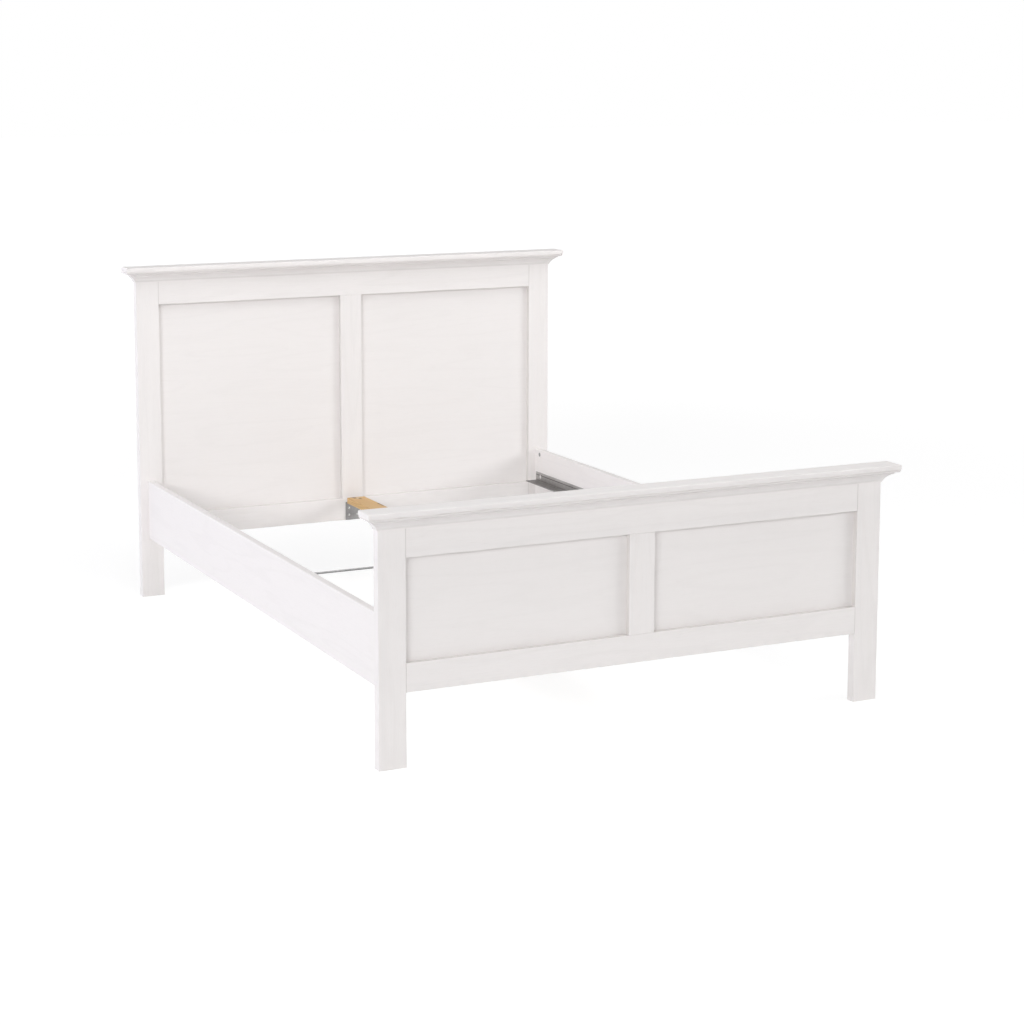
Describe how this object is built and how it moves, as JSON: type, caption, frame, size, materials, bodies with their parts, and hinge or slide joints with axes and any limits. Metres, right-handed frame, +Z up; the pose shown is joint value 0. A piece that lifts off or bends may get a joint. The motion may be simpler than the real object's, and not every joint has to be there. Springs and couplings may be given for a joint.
{
  "type": "double bed frame",
  "caption": "Bed frame with a tall panelled headboard, a lower panelled footboard, moulded crowns, side rails with steel ledges, and a middle beam on a leg.",
  "frame": {"origin": "on the floor, in the middle of the footprint of the whole frame, crowns included", "axes": "+X to the right seen from the foot of the bed, +Y along the bed towards the headboard, +Z up"},
  "size_m": [1.588, 2.108, 1.102],
  "materials": {
    "white_upright": "white satin finish over wood board, fine embossed grain running up",
    "white_crosswise": "white satin finish over wood board, fine embossed grain across the bed",
    "white_lengthwise": "white satin finish over wood board, fine embossed grain along the bed",
    "white_panel": "thin panel with the same white satin finish",
    "zinc_steel": "zinc-plated sheet steel, dull",
    "fixing_steel": "bright zinc-plated steel",
    "cam_zinc": "die-cast zinc, matt",
    "bare_timber": "bare planed softwood",
    "dowel_timber": "bare hardwood dowel",
    "glide_plastic": "matt moulded plastic"
  },
  "bodies": {
    "root": {"footboard_left_post": "white_upright", "footboard_right_post": "white_upright", "footboard_center_stile": "white_upright", "footboard_top_rail": "white_crosswise", "footboard_bottom_rail": "white_crosswise", "footboard_left_panel": "white_panel", "footboard_right_panel": "white_panel", "footboard_top_board": "white_crosswise", "footboard_front_cove": "white_crosswise", "footboard_left_cove": "white_lengthwise", "footboard_right_cove": "white_lengthwise", "headboard_left_post": "white_upright", "headboard_right_post": "white_upright", "headboard_center_stile": "white_upright", "headboard_top_rail": "white_crosswise", "headboard_bottom_rail": "white_crosswise", "headboard_left_panel": "white_panel", "headboard_right_panel": "white_panel", "headboard_top_board": "white_crosswise", "headboard_front_cove": "white_crosswise", "headboard_left_cove": "white_lengthwise", "headboard_right_cove": "white_lengthwise", "left_side_rail": "white_lengthwise", "right_side_rail": "white_lengthwise", "left_slat_ledge": "zinc_steel", "right_slat_ledge": "zinc_steel", "ledge_screws": "fixing_steel", "rail_cams": "cam_zinc", "rail_cam_bolts": "fixing_steel", "rail_dowels": "dowel_timber", "center_beam": "bare_timber", "footboard_beam_bracket": "zinc_steel", "headboard_beam_bracket": "zinc_steel", "bracket_screws": "fixing_steel", "beam_bolts": "fixing_steel", "beam_nuts": "fixing_steel", "cross_rod": "fixing_steel", "rod_nuts": "fixing_steel", "center_leg": "bare_timber", "center_leg_glide": "glide_plastic", "leg_screws": "fixing_steel"}
  },
  "joints": []
}
